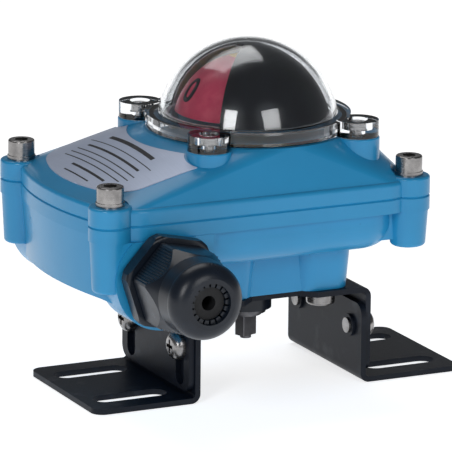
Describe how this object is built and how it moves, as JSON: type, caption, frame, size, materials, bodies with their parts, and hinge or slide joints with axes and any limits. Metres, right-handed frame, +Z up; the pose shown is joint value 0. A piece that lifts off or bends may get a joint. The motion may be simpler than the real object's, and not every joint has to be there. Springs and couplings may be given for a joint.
{
  "type": "valve limit switch box",
  "caption": "Valve limit switch box: cast housing with a clear dome over a turning indicator, cam switches on its shaft, cable gland and a height-adjustable foot bracket.",
  "frame": {"origin": "on the shaft axis, level with the undersides of the feet, at the centre of the foot slot pattern", "axes": "+X along the long side away from the cable entries, +Y away from the cable gland, +Z up along the shaft towards the dome"},
  "size_m": [0.1347, 0.123, 0.1102],
  "materials": {
    "blue_enamel": "glossy powder-coated die-cast aluminium",
    "black_coat": "satin black powder coat on folded steel",
    "stainless": "turned stainless steel",
    "spring_steel": "spring steel",
    "clear_pc": "clear polycarbonate",
    "black_nylon": "moulded nylon",
    "mask_black": "moulded plastic",
    "rotor_red": "moulded plastic",
    "rotor_yellow": "moulded plastic",
    "black_rubber": "moulded nitrile rubber",
    "label_silver": "matt silver foil plate",
    "switch_plastic": "moulded phenolic",
    "terminal_green": "moulded polyamide",
    "zinc": "zinc plate"
  },
  "bodies": {
    "housing": {"lower_housing": "blue_enamel", "top_cover": "blue_enamel", "cover_gasket": "black_rubber", "cover_screws": "stainless", "cover_screw_washers": "stainless", "data_label": "label_silver", "indicator_dome": "clear_pc", "dome_gasket": "black_rubber", "dome_screws": "stainless", "indicator_mask": "mask_black", "lower_bush": "black_nylon", "upper_bush": "black_nylon", "shaft_seal": "black_rubber", "switch_plate": "spring_steel", "plate_screws": "stainless", "microswitch_closed": "switch_plastic", "microswitch_open": "switch_plastic", "switch_spacer": "switch_plastic", "switch_screws": "stainless", "terminal_block": "terminal_green", "terminal_screws": "zinc", "earth_screw": "stainless", "gland_body": "black_nylon", "gland_washer": "black_rubber", "gland_cap_nut": "black_nylon", "gland_claw": "black_nylon", "gland_seal": "black_rubber", "blanking_plug": "black_nylon", "plug_washer": "black_rubber", "u_bracket": "black_coat", "bracket_bolts": "stainless", "bracket_washers": "stainless"},
    "turning_shaft": {"shaft": "stainless", "shaft_circlip": "spring_steel", "cam_closed": "rotor_red", "cam_open": "rotor_yellow", "cam_spring": "spring_steel", "cam_collar": "black_nylon", "rotor_red": "rotor_red", "rotor_yellow": "rotor_yellow"},
    "lever_closed_body": {"lever_closed": "spring_steel"},
    "lever_open_body": {"lever_open": "spring_steel"},
    "left_foot_body": {"left_foot": "black_coat", "left_foot_screws": "stainless"},
    "right_foot_body": {"right_foot": "black_coat", "right_foot_screws": "stainless"}
  },
  "joints": [
    {"name": "shaft_turn", "type": "hinge", "parent": "housing", "child": "turning_shaft", "pos_m": [0, 0, 0.05], "axis": [0, 0, 1], "range_deg": [0, 90]},
    {"name": "lever_closed_tilt", "type": "hinge", "parent": "housing", "child": "lever_closed_body", "pos_m": [-0.0132, 0.009, 0.059], "axis": [0, 0, 1], "range_deg": [-10.2, 0]},
    {"name": "lever_open_tilt", "type": "hinge", "parent": "housing", "child": "lever_open_body", "pos_m": [-0.0132, 0.009, 0.066], "axis": [0, 0, 1], "range_deg": [0, 10.2]},
    {"name": "left_foot_height", "type": "slide", "parent": "housing", "child": "left_foot_body", "axis": [0, 0, 1], "range_m": [-0.0095, 0]},
    {"name": "right_foot_height", "type": "slide", "parent": "housing", "child": "right_foot_body", "axis": [0, 0, 1], "range_m": [-0.0095, 0]}
  ],
  "couplings": [
    {"joint": "lever_closed_tilt", "follows": "shaft_turn", "ratio": -0.1133},
    {"joint": "lever_open_tilt", "follows": "shaft_turn", "ratio": 0.1133}
  ]
}
